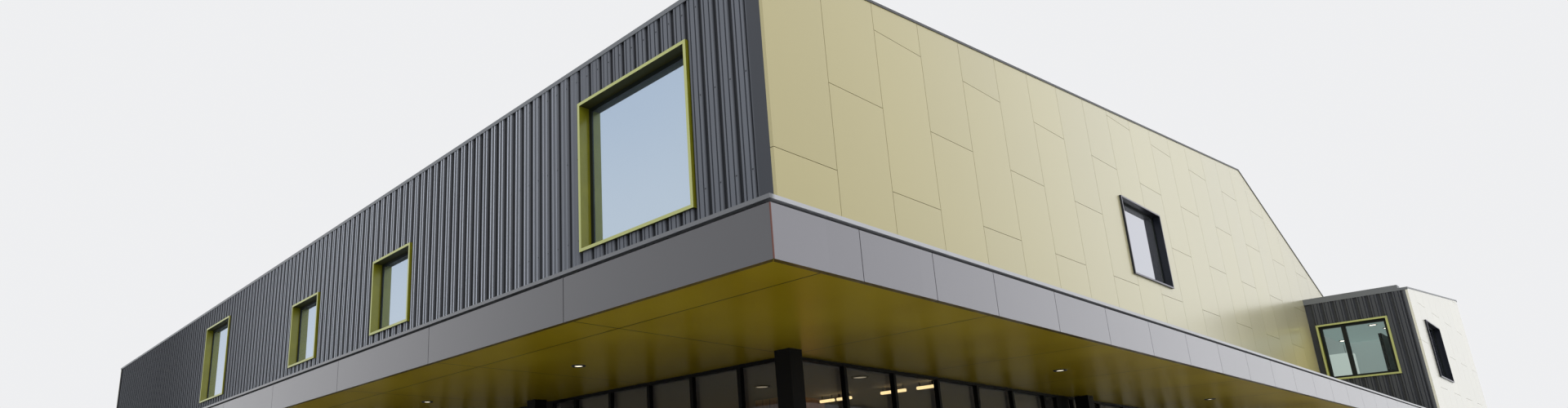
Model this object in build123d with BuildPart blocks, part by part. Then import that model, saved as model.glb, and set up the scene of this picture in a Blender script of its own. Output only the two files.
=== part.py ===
"""School building with a folded-roof upper storey over a glazed ground floor.

The upper walls' street corner is the setting-out point: x runs along the front wall and is
negative away from the corner, y runs back along the gold side wall, z is the height above ground.
All sizes are in millimetres.
"""

import os
from math import ceil

from build123d import *

os.makedirs("parts", exist_ok=True)

# Plan
module = 1200.0
front_length = 30 * module
wing_start = 20 * module
depth = 29 * module
wing_reach = 2300.0
canopy_front_reach = 3000.0
canopy_side_reach = wing_reach

# Levels above the ground
floor_top = 120.0
soffit_level = 3230.0
deck_top = 3628.0
upper_floor_top = 4050.0
eaves_level = 8215.0
wing_eaves_level = 7070.0
wing_parapet_level = 7165.0

# Folded roof: a long gentle rise, a steep fall into a valley, then a second gentle rise
roof_rise = 0.105
steep_fall = 0.386
ridge_back = 20100.0
roof_thickness = 250.0
roof_upstand = 60.0

# Walls and cladding
wall_thickness = 300.0
cladding_depth = 50.0
sheet_thickness = 12.0
rib_pitch = 256.0
rib_crest = 172.0
rib_foot = 204.0
corner_trim_width = 270.0
wing_trim_width = 120.0
panel_joint = 8.0
panel_height = 2 * module
panel_joint_level = 5640.0
coping_height = 40.0
coping_overhang = 12.0
coping_drip = 30.0
parapet_step = 190.0
upper_slab_thickness = 350.0
ceiling_thickness = 40.0
wing_ceiling_level = 6620.0

# Canopy
soffit_thickness = 20.0
deck_thickness = 50.0
edge_beam_width = 120.0
fascia_thickness = 50.0
fascia_drip = 20.0
fascia_gap = 24.0
flashing_height = 32.0
flashing_overhang = 12.0
flashing_width = 90.0
fascia_front_module = 2 * module
fascia_corner_module = 1000.0
downlight_radius = 75.0
downlight_drop = 4.0
front_light_start = -1750.0
front_light_pitch = 3500.0
side_light_start = 3850.0
side_light_pitch = 5600.0

# Windows: a coloured box frame, a dark inner frame behind it and one pane
box_wall = 48.0
slim_box_wall = 30.0
box_projection = 38.0
box_depth = 188.0
slim_box_depth = 138.0
wing_box_depth = 118.0
inner_frame_depth = 120.0
inner_frame_face = 62.0
slim_frame_face = 35.0
pane_thickness = 28.0
pane_setback = 15.0
large_window = (2320.0, 2340.0)
small_window = (1670.0, 1570.0)
front_sill = 5275.0
large_window_places = (-2440.0, -21740.0)
small_window_places = (-9810.0, -14450.0)
side_window = (2060.0, 1610.0)
side_window_place = (11670.0, 5850.0)
wing_window = (1590.0, 1600.0)
wing_window_place = (950.0, 4800.0)
wing_window_light = 430.0
wing_mullion = 95.0
wing_side_window = (2300.0, 1630.0)
wing_side_window_place = (26750.0, 4755.0)

# Ground floor glazing
glazing_depth = 60.0
glazing_inset = 20.0
glass_thickness = 24.0
glass_clearance = 5.0
mullion_width = 50.0
head_rail = 55.0
bottom_rail = 100.0
front_mullion_pitch = 765.0
side_mullion_pitch = 1000.0
rear_mullion_pitch = module
post_width = 410.0
side_post_offset = 380.0
column_size = 200.0
column_out_front = 220.0
column_out_side = 150.0
front_column_pitch = 4550.0
side_column_pitch = 6 * module

# Worked out from the sizes above
flashing_top = deck_top + flashing_height
wall_foot = soffit_level + soffit_thickness
wall_outer = cladding_depth
wall_inner = cladding_depth + wall_thickness
bar_ridge = wing_eaves_level - roof_rise * wing_start
ridge_level = eaves_level + roof_rise * ridge_back
valley_back = (ridge_level + steep_fall * ridge_back - bar_ridge) / (roof_rise + steep_fall)
valley_level = bar_ridge + roof_rise * valley_back
back_level = bar_ridge + roof_rise * depth
wing_outer = wing_start + wall_outer
wing_inner = wing_start + wall_inner
corner_x = (front_length - canopy_side_reach) / 2
corner_y = -(depth + box_projection - canopy_front_reach - flashing_overhang) / 2


def wall_top(y):
    """Level of the wall tops at a distance y behind the front face."""
    if y <= ridge_back:
        return eaves_level + roof_rise * y
    if y <= valley_back:
        return ridge_level - steep_fall * (y - ridge_back)
    return bar_ridge + roof_rise * y


def bar_top(y):
    """Level of the rear bar's wall tops, also beside the steep slope."""
    return bar_ridge + roof_rise * y


def front_plane(y):
    """Elevation plane parallel to the front wall, drawn in x and z, facing the street."""
    return Plane(origin=(corner_x, corner_y + y, 0), x_dir=(1, 0, 0), z_dir=(0, -1, 0))


def side_plane(x):
    """Elevation plane parallel to the side wall, drawn in y and z, facing outwards."""
    return Plane(origin=(corner_x + x, corner_y, 0), x_dir=(0, 1, 0), z_dir=(1, 0, 0))


def plan_plane(z):
    """Level plane at a height z, drawn in x and y from the street corner."""
    return Plane(origin=(corner_x, corner_y, z))


def bars(low_x, high_x, low_y, high_y):
    """Rectangle between two corners, in the sketch that is open."""
    with Locations(((low_x + high_x) / 2, (low_y + high_y) / 2)):
        Rectangle(high_x - low_x, high_y - low_y)


def outline(*points):
    """Closed polygon through the points, in the sketch that is open."""
    Polygon(*points, align=None)


def ribbed_outline(start, end):
    """Plan outline of broad ribs with narrow valleys, set out from the end; crests at 0."""
    count = int((end - start) // rib_pitch)
    first = end - (count - 0.5) * rib_pitch
    back = cladding_depth
    face = cladding_depth - sheet_thickness
    points = [(start, back), (start, face)]
    for n in range(count):
        middle = first + n * rib_pitch
        points.append((middle - rib_foot / 2, face))
        points.append((middle - rib_crest / 2, 0))
        points.append((middle + rib_crest / 2, 0))
        points.append((middle + rib_foot / 2, face))
    points.append((end, face))
    points.append((end, back))
    return points


def panel_joints(start, end, low, high, rows_from):
    """Joint lines of tall panels in running bond: full-height verticals and staggered levels."""
    columns = round((end - start) / module)
    for n in range(1, columns):
        bars(start + n * module - panel_joint / 2, start + n * module + panel_joint / 2, low, high)
    for n in range(columns):
        level = rows_from + (module if n % 2 else 0)
        while level - panel_height > low:
            level -= panel_height
        while level < high:
            x = start + n * module
            bars(x, x + module, level - panel_joint / 2, level + panel_joint / 2)
            level += panel_height


# Openings, each as centre, sill, width and height
front_openings = [(x, front_sill, *large_window) for x in large_window_places]
front_openings += [(x, front_sill, *small_window) for x in small_window_places]
side_openings = [(*side_window_place, *side_window)]
wing_openings = [(*wing_window_place, *wing_window)]
wing_side_openings = [(*wing_side_window_place, *wing_side_window)]


def cut_openings(openings, grow=0.0):
    """Rectangles of the openings, grown by a margin on every side, in the open sketch."""
    for middle, sill, width, height in openings:
        with Locations((middle, sill + height / 2)):
            Rectangle(width + 2 * grow, height + 2 * grow)


def ring(openings, inset, face):
    """Rectangular rings inside the openings: an inset from the edge and a width of frame."""
    cut_openings(openings, -inset)
    for middle, sill, width, height in openings:
        with Locations((middle, sill + height / 2)):
            Rectangle(width - 2 * (inset + face), height - 2 * (inset + face), mode=Mode.SUBTRACT)


saved = []


def save(builder, name):
    """Label a finished piece and write it under its name."""
    builder.part.label = name
    export_step(builder.part, f"parts/{name}.step")
    saved.append(name)


# Floors
with BuildPart() as ground_floor_slab:
    with BuildSketch(plan_plane(0)):
        bars(-front_length + glazing_inset, -glazing_inset, glazing_inset, depth - glazing_inset)
    extrude(amount=floor_top)
save(ground_floor_slab, "ground_floor_slab")

with BuildPart() as upper_floor_slab:
    with BuildSketch(plan_plane(upper_floor_top - upper_slab_thickness)):
        bars(-front_length + wall_inner, -wall_inner, wall_inner, depth - wall_inner)
        bars(-wall_inner, wing_reach - wall_inner, wing_start + wall_inner, depth - wall_inner)
    extrude(amount=upper_slab_thickness)
save(upper_floor_slab, "upper_floor_slab")

with BuildPart() as ground_floor_ceiling:
    with BuildSketch(plan_plane(wall_foot)):
        bars(-front_length + wall_inner, -wall_inner, wall_inner, depth - wall_inner)
        bars(-wall_inner, wing_reach - wall_inner, wing_start + wall_inner, depth - wall_inner)
    extrude(amount=ceiling_thickness)
save(ground_floor_ceiling, "ground_floor_ceiling")

with BuildPart() as wing_ceiling:
    with BuildSketch(plan_plane(wing_ceiling_level)):
        bars(-wall_inner, wing_reach - wall_inner, wing_start + wall_inner, depth - wall_inner)
    extrude(amount=ceiling_thickness)
save(wing_ceiling, "wing_ceiling")

# Upper walls
with BuildPart() as front_wall:
    with BuildSketch(side_plane(-wall_outer)):
        outline(
            (wall_outer, wall_foot),
            (wall_inner, wall_foot),
            (wall_inner, wall_top(wall_inner)),
            (wall_outer, wall_top(wall_outer)),
        )
    extrude(amount=-(front_length - 2 * wall_outer))
    with BuildSketch(front_plane(0)):
        cut_openings(front_openings)
    extrude(amount=-wall_inner - wall_thickness, mode=Mode.SUBTRACT)
save(front_wall, "front_wall")

with BuildPart() as side_wall:
    with BuildSketch(side_plane(-wall_outer)):
        outline(
            (wall_inner, wall_foot),
            (wing_inner, wall_foot),
            (wing_inner, bar_top(wing_inner) - roof_upstand),
            (valley_back, valley_level - roof_upstand),
            (valley_back, valley_level),
            (ridge_back, ridge_level),
            (wall_inner, wall_top(wall_inner)),
        )
    extrude(amount=-wall_thickness)
    with BuildSketch(side_plane(0)):
        cut_openings(side_openings)
    extrude(amount=-wall_inner - wall_thickness, mode=Mode.SUBTRACT)
save(side_wall, "side_wall")

with BuildPart() as west_wall:
    with BuildSketch(side_plane(-front_length + wall_inner)):
        outline(
            (wall_inner, wall_foot),
            (depth - wall_inner, wall_foot),
            (depth - wall_inner, wall_top(depth - wall_inner)),
            (valley_back, valley_level),
            (ridge_back, ridge_level),
            (wall_inner, wall_top(wall_inner)),
        )
    extrude(amount=-wall_thickness)
    with BuildSketch(side_plane(-front_length - wall_inner)):
        cut_openings(side_openings)
    extrude(amount=3 * wall_inner, mode=Mode.SUBTRACT)
save(west_wall, "west_wall")

with BuildPart() as back_wall:
    with BuildSketch(side_plane(wing_reach - wall_outer)):
        outline(
            (depth - wall_inner, wall_foot),
            (depth - wall_outer, wall_foot),
            (depth - wall_outer, wall_top(depth - wall_outer)),
            (depth - wall_inner, wall_top(depth - wall_inner)),
        )
    extrude(amount=-(front_length + wing_reach - 2 * wall_outer))
    with BuildSketch(front_plane(depth + wall_inner)):
        cut_openings(front_openings)
    extrude(amount=3 * wall_inner, mode=Mode.SUBTRACT)
save(back_wall, "back_wall")

with BuildPart() as wing_front_wall:
    with BuildSketch(side_plane(wing_reach - wall_outer)):
        outline(
            (wing_outer, wall_foot),
            (wing_inner, wall_foot),
            (wing_inner, bar_top(wing_inner)),
            (wing_outer, bar_top(wing_outer)),
        )
    extrude(amount=-wing_reach)
    with BuildSketch(front_plane(wing_start)):
        cut_openings(wing_openings)
    extrude(amount=-wall_inner - wall_thickness, mode=Mode.SUBTRACT)
save(wing_front_wall, "wing_front_wall")

with BuildPart() as wing_side_wall:
    with BuildSketch(side_plane(wing_reach - wall_outer)):
        outline(
            (wing_inner, wall_foot),
            (depth - wall_inner, wall_foot),
            (depth - wall_inner, bar_top(depth - wall_inner)),
            (wing_inner, bar_top(wing_inner)),
        )
    extrude(amount=-wall_thickness)
    with BuildSketch(side_plane(wing_reach)):
        cut_openings(wing_side_openings)
    extrude(amount=-wall_inner - wall_thickness, mode=Mode.SUBTRACT)
save(wing_side_wall, "wing_side_wall")

# Roof plates between the end walls
west_inner = -front_length + wall_inner


def roof_plate(low_y, high_y, top):
    """Cross-section of a roof plate below the wall tops, in the open sketch."""
    low = top(low_y) - roof_upstand
    high = top(high_y) - roof_upstand
    outline(
        (low_y, low - roof_thickness),
        (high_y, high - roof_thickness),
        (high_y, high),
        (low_y, low),
    )


with BuildPart() as roof_front_slope:
    with BuildSketch(side_plane(-wall_inner)):
        roof_plate(wall_inner, ridge_back, wall_top)
    extrude(amount=-(front_length - 2 * wall_inner))
save(roof_front_slope, "roof_front_slope")

with BuildPart() as roof_steep_slope:
    with BuildSketch(side_plane(-wall_inner)):
        roof_plate(ridge_back, valley_back, wall_top)
    extrude(amount=-(front_length - 2 * wall_inner))
save(roof_steep_slope, "roof_steep_slope")

with BuildPart() as roof_rear_bar:
    with BuildSketch(side_plane(wing_reach - wall_inner)):
        roof_plate(wing_start + wall_inner, depth - wall_inner, bar_top)
    extrude(amount=-wing_reach)
    with BuildSketch(side_plane(-wall_inner)):
        roof_plate(valley_back, depth - wall_inner, bar_top)
    extrude(amount=-(front_length - 2 * wall_inner))
save(roof_rear_bar, "roof_rear_bar")

# Ribbed cladding on the front, the back and the rear bar's street face
with BuildPart() as front_cladding:
    with BuildSketch(plan_plane(deck_top)):
        outline(*ribbed_outline(-front_length + corner_trim_width, -corner_trim_width))
    extrude(amount=eaves_level - deck_top)
    with BuildSketch(front_plane(0)):
        cut_openings(front_openings)
    extrude(amount=-cladding_depth, mode=Mode.SUBTRACT)
save(front_cladding, "front_ribbed_cladding")

with BuildPart() as wing_cladding:
    with BuildSketch(Plane(origin=(corner_x, corner_y + wing_start, deck_top))):
        outline(*ribbed_outline(0, wing_reach - wing_trim_width))
    extrude(amount=wing_eaves_level - deck_top)
    with BuildSketch(front_plane(wing_start)):
        cut_openings(wing_openings)
    extrude(amount=-cladding_depth, mode=Mode.SUBTRACT)
save(wing_cladding, "wing_ribbed_cladding")

back_cladding_top = wall_top(depth - cladding_depth)
back_plan = Plane(
    origin=(corner_x, corner_y + depth, deck_top), x_dir=(-1, 0, 0), z_dir=(0, 0, 1)
)
with BuildPart() as back_cladding:
    with BuildSketch(back_plan):
        outline(*ribbed_outline(corner_trim_width - wing_reach, front_length - corner_trim_width))
    extrude(amount=back_cladding_top - deck_top)
    with BuildSketch(front_plane(depth)):
        cut_openings(front_openings)
    extrude(amount=cladding_depth, mode=Mode.SUBTRACT)
save(back_cladding, "back_ribbed_cladding")

# Flat trims that close the ribbed sheets at the corners
with BuildPart() as front_trims:
    with BuildSketch(plan_plane(deck_top)):
        bars(-corner_trim_width, -cladding_depth, 0, cladding_depth)
        bars(-front_length + cladding_depth, -front_length + corner_trim_width, 0, cladding_depth)
    extrude(amount=eaves_level - deck_top)
    with BuildSketch(plan_plane(deck_top)):
        bars(
            wing_reach - wing_trim_width,
            wing_reach - cladding_depth,
            wing_start,
            wing_start + cladding_depth,
        )
    extrude(amount=wing_eaves_level - deck_top)
    with BuildSketch(plan_plane(deck_top)):
        bars(
            wing_reach - corner_trim_width,
            wing_reach - cladding_depth,
            depth - cladding_depth,
            depth,
        )
        bars(
            -front_length + cladding_depth,
            -front_length + corner_trim_width,
            depth - cladding_depth,
            depth,
        )
    extrude(amount=back_cladding_top - deck_top)
save(front_trims, "corner_trims")

# Gold panels in running bond, separate panels with open joints
with BuildPart() as side_panels:
    with BuildSketch(side_plane(0)):
        outline(
            (0, deck_top),
            (wing_outer, deck_top),
            (wing_outer, bar_top(wing_inner)),
            (wing_inner, bar_top(wing_inner)),
            (wing_inner, bar_top(wing_inner) - roof_upstand),
            (valley_back, valley_level - roof_upstand),
            (valley_back, valley_level),
            (ridge_back, ridge_level),
            (0, eaves_level),
        )
    extrude(amount=-cladding_depth)
    with BuildSketch(side_plane(0)):
        panel_joints(0, module * ceil(valley_back / module), deck_top, ridge_level, panel_joint_level)
        cut_openings(side_openings)
    extrude(amount=-cladding_depth, mode=Mode.SUBTRACT)
save(side_panels, "side_gold_panels")

with BuildPart() as west_panels:
    with BuildSketch(side_plane(-front_length + cladding_depth)):
        outline(
            (0, deck_top),
            (depth, deck_top),
            (depth, back_level),
            (valley_back, valley_level),
            (ridge_back, ridge_level),
            (0, eaves_level),
        )
    extrude(amount=-cladding_depth)
    with BuildSketch(side_plane(-front_length + cladding_depth)):
        panel_joints(0, depth, deck_top, ridge_level, panel_joint_level)
        cut_openings(side_openings)
    extrude(amount=-cladding_depth, mode=Mode.SUBTRACT)
save(west_panels, "west_gold_panels")

with BuildPart() as wing_panels:
    with BuildSketch(side_plane(wing_reach)):
        outline(
            (wing_start, flashing_top),
            (depth, flashing_top),
            (depth, back_level),
            (wing_start, wing_eaves_level),
        )
    extrude(amount=-cladding_depth)
    with BuildSketch(side_plane(wing_reach)):
        panel_joints(wing_start, depth, flashing_top, back_level, panel_joint_level)
        cut_openings(wing_side_openings)
    extrude(amount=-cladding_depth, mode=Mode.SUBTRACT)
save(wing_panels, "wing_gold_panels")

# Copings on the wall tops
cap = coping_height
lip = coping_overhang


def level_coping(low_y, high_y):
    """Cross-section of a coping over a front or back wall, in the open sketch."""
    outline(
        (low_y, wall_top(low_y)),
        (high_y, wall_top(high_y)),
        (high_y, wall_top(high_y) + cap),
        (low_y, wall_top(low_y) + cap),
    )


with BuildPart() as front_coping:
    with BuildSketch(side_plane(lip)):
        level_coping(-lip, wall_inner + lip)
        bars(-lip, 0, eaves_level - coping_drip, eaves_level)
    extrude(amount=-(front_length + 2 * lip))
save(front_coping, "front_coping")

with BuildPart() as back_coping:
    with BuildSketch(side_plane(wing_reach + lip)):
        level_coping(depth - wall_inner - lip, depth + lip)
        bars(depth, depth + lip, back_level - coping_drip, back_level + lip)
    extrude(amount=-(front_length + wing_reach + 2 * lip))
save(back_coping, "back_coping")


def sloped_coping(points):
    """Cross-section of a coping that follows the wall tops through the points."""
    lower = [(y, z) for y, z in points]
    upper = [(y, z + cap) for y, z in reversed(points)]
    outline(*lower, *upper)


front_stop = wall_inner + lip
back_stop = depth - wall_inner - lip
folded_line = [
    (front_stop, wall_top(front_stop)),
    (ridge_back, ridge_level),
    (valley_back, valley_level),
]
with BuildPart() as side_coping:
    with BuildSketch(side_plane(lip)):
        sloped_coping(folded_line)
    extrude(amount=-(wall_inner + 2 * lip))
save(side_coping, "side_coping")

with BuildPart() as west_coping:
    with BuildSketch(side_plane(-front_length + front_stop)):
        sloped_coping(folded_line + [(back_stop, wall_top(back_stop))])
    extrude(amount=-(wall_inner + 2 * lip))
save(west_coping, "west_coping")

wing_edge = [(y, bar_top(y)) for y in (wing_start - lip, wing_start + front_stop)]
wing_line = [(y, bar_top(y)) for y in (wing_start + front_stop, back_stop)]
with BuildPart() as wing_coping:
    with BuildSketch(side_plane(wing_reach + lip)):
        sloped_coping(wing_line)
    extrude(amount=-(wall_inner + 2 * lip))
    with BuildSketch(side_plane(wing_reach + lip)):
        sloped_coping(wing_edge)
        bars(wing_start - lip, wing_start, wing_eaves_level - coping_drip, wing_eaves_level + cap)
    extrude(amount=-(wing_reach + lip))
    with BuildSketch(side_plane(wing_reach - parapet_step)):
        outline(
            (wing_edge[0][0], wing_edge[0][1] + cap),
            (wing_edge[1][0], wing_edge[1][1] + cap),
            (wing_edge[1][0], wing_parapet_level + cap),
            (wing_edge[0][0], wing_parapet_level + cap),
        )
    extrude(amount=-(wing_reach - parapet_step))
save(wing_coping, "wing_coping")

# Canopy around the street corner, with its edge band carried on round the building
canopy_edge_x = canopy_side_reach - fascia_thickness
canopy_edge_y = -canopy_front_reach + fascia_thickness
west_end = -front_length + fascia_thickness
back_end = depth - fascia_thickness

with BuildPart() as canopy_soffit:
    with BuildSketch(plan_plane(soffit_level)):
        bars(west_end, canopy_edge_x, canopy_edge_y, glazing_inset)
        bars(-glazing_inset, canopy_edge_x, glazing_inset, back_end)
    extrude(amount=soffit_thickness)
save(canopy_soffit, "canopy_soffit")

with BuildPart() as canopy_deck:
    with BuildSketch(plan_plane(deck_top - deck_thickness)):
        bars(west_end, canopy_edge_x, canopy_edge_y, wall_outer)
        bars(-wall_outer, canopy_edge_x, wall_outer, wing_start + wall_outer)
    extrude(amount=deck_thickness)
save(canopy_deck, "canopy_deck")

with BuildPart() as canopy_edge_beam:
    with BuildSketch(plan_plane(wall_foot)):
        bars(west_end, canopy_edge_x, canopy_edge_y, canopy_edge_y + edge_beam_width)
        bars(west_end, west_end + edge_beam_width, canopy_edge_y, 0)
        bars(
            canopy_edge_x - edge_beam_width,
            canopy_edge_x,
            canopy_edge_y,
            wing_start + wall_outer,
        )
    extrude(amount=deck_top - deck_thickness - wall_foot)
save(canopy_edge_beam, "canopy_edge_beam")

fascia_low = soffit_level - fascia_drip
fascia_high = deck_top - fascia_gap
joint = panel_joint / 2


def repeats(start, step, stop):
    """Places from start to stop, one step apart."""
    count = int(abs(stop - start) // abs(step))
    return [start + n * step for n in range(count + 1)]


side_joints = [-2 * fascia_corner_module, -fascia_corner_module] + repeats(0, module, depth - module)
front_joints = repeats(0, -fascia_front_module, -front_length + fascia_front_module)
with BuildPart() as canopy_fascia:
    with BuildSketch(plan_plane(fascia_low)):
        outline(
            (-front_length, -canopy_front_reach),
            (canopy_side_reach - joint, -canopy_front_reach),
            (canopy_edge_x - joint, canopy_edge_y),
            (-front_length, canopy_edge_y),
        )
        bars(-front_length, west_end, canopy_edge_y, 0)
        outline(
            (canopy_side_reach, -canopy_front_reach + joint),
            (canopy_side_reach, depth),
            (canopy_edge_x, depth),
            (canopy_edge_x, canopy_edge_y + joint),
        )
    extrude(amount=fascia_high - fascia_low)
    with BuildSketch(plan_plane(fascia_low)):
        for x in front_joints:
            bars(x - joint, x + joint, -canopy_front_reach, canopy_edge_y)
        for y in side_joints:
            bars(canopy_edge_x, canopy_side_reach, y - joint, y + joint)
    extrude(amount=fascia_high - fascia_low, mode=Mode.SUBTRACT)
save(canopy_fascia, "canopy_fascia")

with BuildPart() as rear_band:
    with BuildSketch(plan_plane(wall_foot)):
        bars(-front_length, west_end, 0, depth)
        bars(west_end, canopy_edge_x, back_end, depth)
    extrude(amount=fascia_high - wall_foot)
    with BuildSketch(plan_plane(wall_foot)):
        for x in front_joints:
            bars(x - joint, x + joint, back_end, depth)
        for y in side_joints[3:]:
            bars(-front_length, west_end, y - joint, y + joint)
    extrude(amount=fascia_high - wall_foot, mode=Mode.SUBTRACT)
save(rear_band, "rear_band")

flash_out = flashing_overhang
flash_in = flashing_width - flashing_overhang
with BuildPart() as canopy_flashing:
    with BuildSketch(plan_plane(deck_top)):
        bars(
            -front_length - flash_out,
            canopy_side_reach + flash_out,
            -canopy_front_reach - flash_out,
            -canopy_front_reach + flash_in,
        )
        bars(-front_length - flash_out, -front_length + flash_in, -canopy_front_reach, 0)
        bars(canopy_side_reach - flash_in, canopy_side_reach + flash_out, -canopy_front_reach, wing_start)
        bars(canopy_edge_x, canopy_side_reach + flash_out, wing_start, depth)
    extrude(amount=flashing_height)
save(canopy_flashing, "canopy_flashing")

front_lights = repeats(front_light_start, -front_light_pitch, -front_length + front_light_pitch)
side_lights = repeats(side_light_start, side_light_pitch, depth - module)
with BuildPart() as canopy_downlights:
    with BuildSketch(plan_plane(soffit_level)):
        with Locations(*[(x, -canopy_front_reach / 2) for x in front_lights]):
            Circle(downlight_radius)
        with Locations(*[(canopy_side_reach / 2, y) for y in side_lights]):
            Circle(downlight_radius)
    extrude(amount=-downlight_drop)
save(canopy_downlights, "canopy_downlights")

# Square steel columns in front of the glazing
front_columns = repeats(column_out_side, -front_column_pitch, -front_length + column_size)
side_columns = repeats(-column_out_front, side_column_pitch, depth)[1:]
with BuildPart() as columns:
    with BuildSketch(plan_plane(0)):
        with Locations(*[(x, -column_out_front) for x in front_columns]):
            Rectangle(column_size, column_size)
        with Locations(*[(column_out_side, y) for y in side_columns]):
            Rectangle(column_size, column_size)
    extrude(amount=soffit_level)
save(columns, "canopy_columns")

# Ground floor glazing: a lattice of rails and mullions with the glass behind it
glazing_top = wall_foot
glass_inset = glazing_inset + glazing_depth
side_start = glass_inset + glass_thickness + glass_clearance
side_finish = depth - side_start


def lattice(start, end, mullions, posts):
    """Elevation of a glazing frame from start to end, in the open sketch."""
    bars(start, end, floor_top, floor_top + bottom_rail)
    bars(start, end, glazing_top - head_rail, glazing_top)
    edges = [start + mullion_width / 2, end - mullion_width / 2]
    for x in edges + mullions:
        bars(x - mullion_width / 2, x + mullion_width / 2, floor_top, glazing_top)
    for x in posts:
        bars(x - post_width / 2, x + post_width / 2, floor_top, glazing_top)


def clear_of(places, posts):
    """Mullion places that stay clear of the wide posts."""
    reach = post_width / 2 + mullion_width
    return [x for x in places if all(abs(x - post) > reach for post in posts)]


front_span = (-front_length + glazing_inset, -glazing_inset)
side_span = (side_start, side_finish)
front_posts = [x - column_out_side for x in front_columns[1:]]
side_posts = [y - side_post_offset for y in side_columns]
front_mullions = repeats(-front_mullion_pitch, -front_mullion_pitch, front_span[0] + module / 2)
side_mullions = repeats(side_mullion_pitch, side_mullion_pitch, side_finish - module / 2)
rear_mullions = repeats(-rear_mullion_pitch, -rear_mullion_pitch, front_span[0] + module / 2)
west_mullions = repeats(module, module, side_finish - module / 2)

with BuildPart() as front_glazing_frame:
    with BuildSketch(front_plane(glazing_inset)):
        lattice(*front_span, clear_of(front_mullions, front_posts), front_posts)
    extrude(amount=-glazing_depth)
save(front_glazing_frame, "front_glazing_frame")

with BuildPart() as side_glazing_frame:
    with BuildSketch(side_plane(-glazing_inset)):
        lattice(*side_span, clear_of(side_mullions, side_posts), side_posts)
    extrude(amount=-glazing_depth)
save(side_glazing_frame, "side_glazing_frame")

with BuildPart() as back_glazing_frame:
    with BuildSketch(front_plane(depth - glazing_inset)):
        lattice(*front_span, rear_mullions, [])
    extrude(amount=glazing_depth)
save(back_glazing_frame, "back_glazing_frame")

with BuildPart() as west_glazing_frame:
    with BuildSketch(side_plane(-front_length + glazing_inset)):
        lattice(*side_span, west_mullions, [])
    extrude(amount=glazing_depth)
save(west_glazing_frame, "west_glazing_frame")

with BuildPart() as ground_floor_glass:
    with BuildSketch(front_plane(glass_inset)):
        bars(*front_span, floor_top, glazing_top)
    extrude(amount=-glass_thickness)
    with BuildSketch(side_plane(-glass_inset)):
        bars(*side_span, floor_top, glazing_top)
    extrude(amount=-glass_thickness)
    with BuildSketch(front_plane(depth - glass_inset)):
        bars(*front_span, floor_top, glazing_top)
    extrude(amount=glass_thickness)
    with BuildSketch(side_plane(-front_length + glass_inset)):
        bars(*side_span, floor_top, glazing_top)
    extrude(amount=glass_thickness)
save(ground_floor_glass, "ground_floor_glass")

# Upper windows: box frames that stand proud of the cladding
with BuildPart() as front_window_boxes:
    with BuildSketch(front_plane(-box_projection)):
        ring(front_openings, 0, box_wall)
    extrude(amount=-box_depth)
save(front_window_boxes, "front_window_boxes")

with BuildPart() as back_window_boxes:
    with BuildSketch(front_plane(depth + box_projection)):
        ring(front_openings, 0, box_wall)
    extrude(amount=box_depth)
save(back_window_boxes, "back_window_boxes")

with BuildPart() as wing_window_box:
    with BuildSketch(front_plane(wing_start - box_projection)):
        ring(wing_openings, 0, box_wall)
    extrude(amount=-wing_box_depth)
save(wing_window_box, "wing_window_box")

with BuildPart() as side_window_boxes:
    with BuildSketch(side_plane(box_projection)):
        ring(side_openings, 0, slim_box_wall)
    extrude(amount=-slim_box_depth)
    with BuildSketch(side_plane(wing_reach + box_projection)):
        ring(wing_side_openings, 0, slim_box_wall)
    extrude(amount=-slim_box_depth)
    with BuildSketch(side_plane(-front_length - box_projection)):
        ring(side_openings, 0, slim_box_wall)
    extrude(amount=slim_box_depth)
save(side_window_boxes, "side_window_boxes")

# Inner frames and panes sit directly behind the box frames
frame_back = box_depth - box_projection
slim_frame_back = slim_box_depth - box_projection
wing_frame_back = wing_box_depth - box_projection
wide_face = box_wall + inner_frame_face
slim_face = slim_box_wall + slim_frame_face
wing_light = wing_window_place[0] - wing_window[0] / 2 + wide_face + wing_window_light
wing_window_top = wing_window_place[1] + wing_window[1]
with BuildPart() as window_inner_frames:
    with BuildSketch(front_plane(frame_back)):
        ring(front_openings, 0, wide_face)
    extrude(amount=-inner_frame_depth)
    with BuildSketch(front_plane(depth - frame_back)):
        ring(front_openings, 0, wide_face)
    extrude(amount=inner_frame_depth)
    with BuildSketch(front_plane(wing_start + wing_frame_back)):
        ring(wing_openings, 0, wide_face)
        bars(wing_light, wing_light + wing_mullion, wing_window_place[1], wing_window_top)
    extrude(amount=-inner_frame_depth)
    with BuildSketch(side_plane(-slim_frame_back)):
        ring(side_openings, 0, slim_face)
    extrude(amount=-inner_frame_depth)
    with BuildSketch(side_plane(wing_reach - slim_frame_back)):
        ring(wing_side_openings, 0, slim_face)
    extrude(amount=-inner_frame_depth)
    with BuildSketch(side_plane(-front_length + slim_frame_back)):
        ring(side_openings, 0, slim_face)
    extrude(amount=inner_frame_depth)
save(window_inner_frames, "window_inner_frames")

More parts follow.
